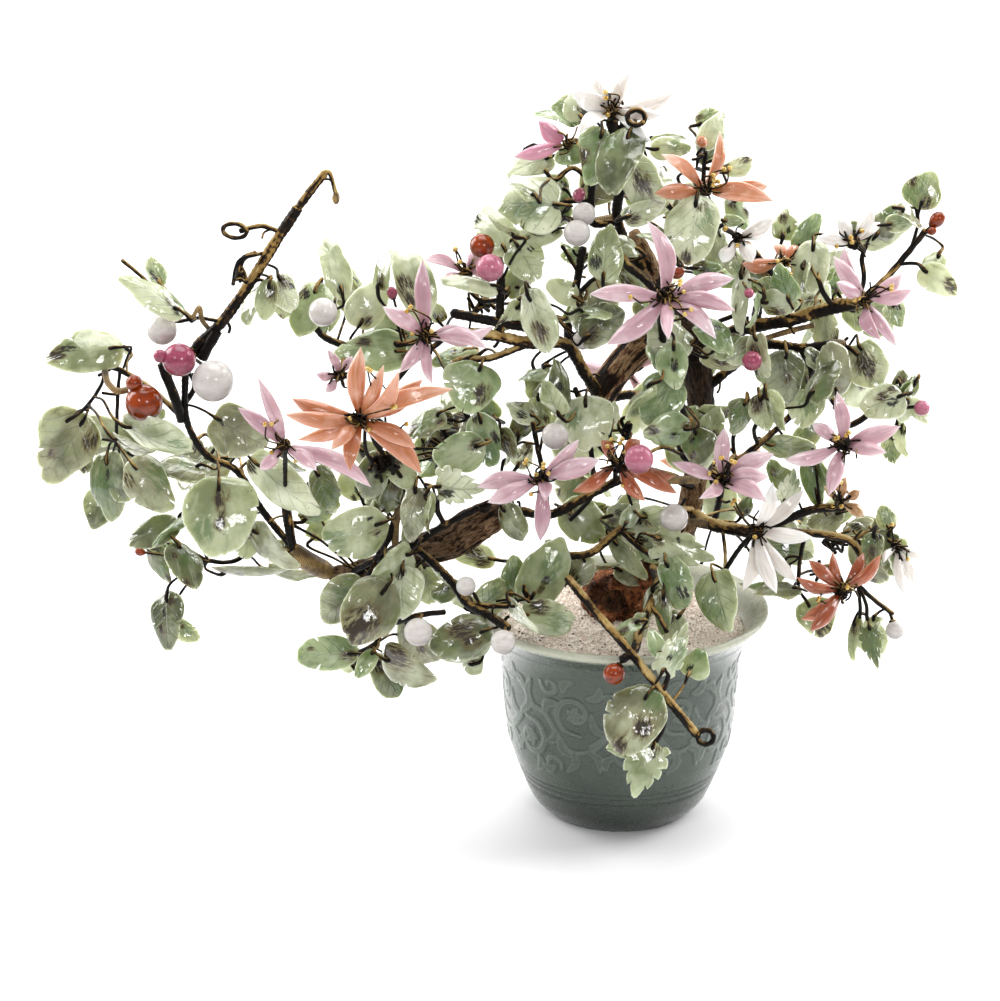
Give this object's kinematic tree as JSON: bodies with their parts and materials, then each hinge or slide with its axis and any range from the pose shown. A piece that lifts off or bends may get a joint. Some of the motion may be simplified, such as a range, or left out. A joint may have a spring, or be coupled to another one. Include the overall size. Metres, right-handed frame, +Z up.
{
  "type": "artificial jade bonsai tree",
  "caption": "Table ornament: a wired tree of carved jade leaves, glass flowers and glass beads on a real wood trunk, standing in a gravel-filled celadon pot.",
  "frame": {"origin": "centre of the pot's flat foot, on the surface it stands on", "axes": "+Z up, +X to the right and -Y towards the front, where most flowers face"},
  "size_m": [0.4428, 0.2298, 0.3826],
  "materials": {
    "celadon": "gloss",
    "gravel": "matte",
    "wood": "matte",
    "jade": "polished",
    "lilac_glass": "gloss",
    "coral_glass": "gloss",
    "white_glass": "gloss",
    "magenta_glass": "gloss",
    "orange_glass": "gloss"
  },
  "bodies": {
    "root": {"pot": "celadon", "gravel": "gravel", "trunk": "wood", "bough": "wood", "branch_left": "jade", "branch_upper_left": "jade", "branch_bough": "jade", "branch_centre": "jade", "branch_middle": "jade", "branch_inner": "jade", "branch_crown_left": "jade", "branch_crown_right": "jade", "branch_trunk": "jade", "branch_right_up": "jade", "branch_right_middle": "jade", "branch_right_low": "jade", "branch_front": "jade", "branch_back": "jade", "bloom_lilac_side": "lilac_glass", "bloom_coral_left": "coral_glass", "bloom_pink_left": "lilac_glass", "bloom_lilac_upper": "lilac_glass", "bloom_pink_behind": "lilac_glass", "bloom_white_crown": "white_glass", "bloom_pink_crown": "magenta_glass", "bloom_coral_crown": "coral_glass", "bloom_lilac_centre": "lilac_glass", "bloom_white_right": "white_glass", "bloom_coral_right": "coral_glass", "bloom_white_far": "white_glass", "bloom_pink_right": "lilac_glass", "bloom_pink_low": "lilac_glass", "bloom_lilac_front": "lilac_glass", "bloom_white_low": "white_glass", "bloom_coral_low": "coral_glass", "bloom_white_edge": "white_glass", "bloom_orange_bud": "orange_glass", "bloom_lilac_middle": "lilac_glass", "bloom_coral_centre": "coral_glass", "bloom_lilac_back": "lilac_glass", "bloom_coral_back": "coral_glass", "bead_white_far_left": "white_glass", "bead_white_left": "white_glass", "bead_white_upper": "white_glass", "bead_white_bough": "white_glass", "bead_white_rim": "white_glass", "bead_white_capped": "white_glass", "bead_white_pair": "white_glass", "bead_white_middle": "white_glass", "bead_white_centre": "white_glass", "bead_white_low": "white_glass", "bead_magenta_left": "magenta_glass", "bead_magenta_upper": "magenta_glass", "bead_magenta_centre": "magenta_glass", "bead_magenta_right": "magenta_glass", "bead_magenta_far": "magenta_glass", "bead_orange_left": "orange_glass", "bead_orange_upper": "orange_glass", "bead_orange_front": "orange_glass"}
  },
  "joints": []
}
